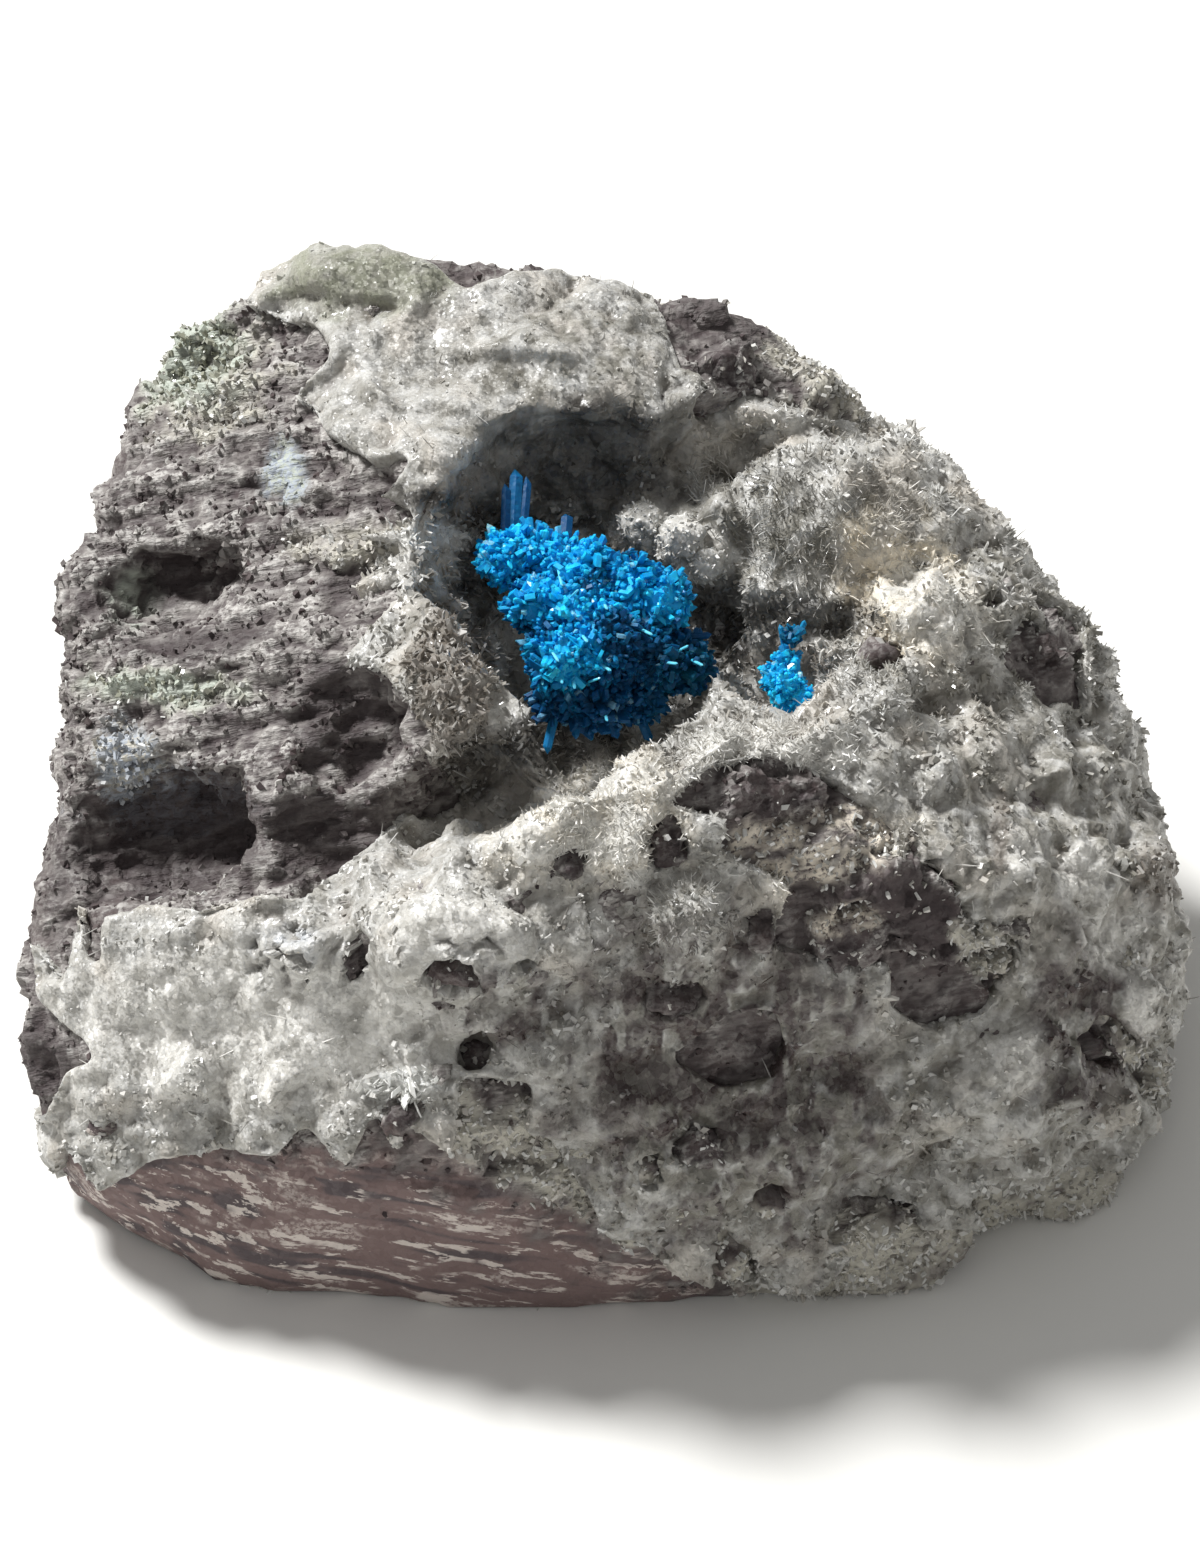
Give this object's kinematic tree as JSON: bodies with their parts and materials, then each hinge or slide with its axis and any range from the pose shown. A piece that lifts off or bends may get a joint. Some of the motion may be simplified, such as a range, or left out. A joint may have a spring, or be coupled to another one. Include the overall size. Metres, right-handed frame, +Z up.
{
  "type": "raw cavansite specimen",
  "caption": "Rough broken block of basalt with a hollow lined by pale stilbite, holding blue needle crystals of cavansite; lies on a flat underside.",
  "frame": {"origin": "middle of the specimen's footprint, on the flat underside that it lies on", "axes": "+Z up; +X to the right along the longest extent, as seen from the face with the hollow; that face looks to -Y and upwards"},
  "size_m": [0.0652, 0.0534, 0.0359],
  "materials": {
    "basalt": "rough broken stone",
    "stilbite": "pearly, partly clear small crystals",
    "cavansite": "glassy needles"
  },
  "bodies": {
    "root": {"basalt_matrix": "basalt", "stilbite_crust": "stilbite", "cavansite_cluster": "cavansite", "cavansite_small": "cavansite"}
  },
  "joints": []
}
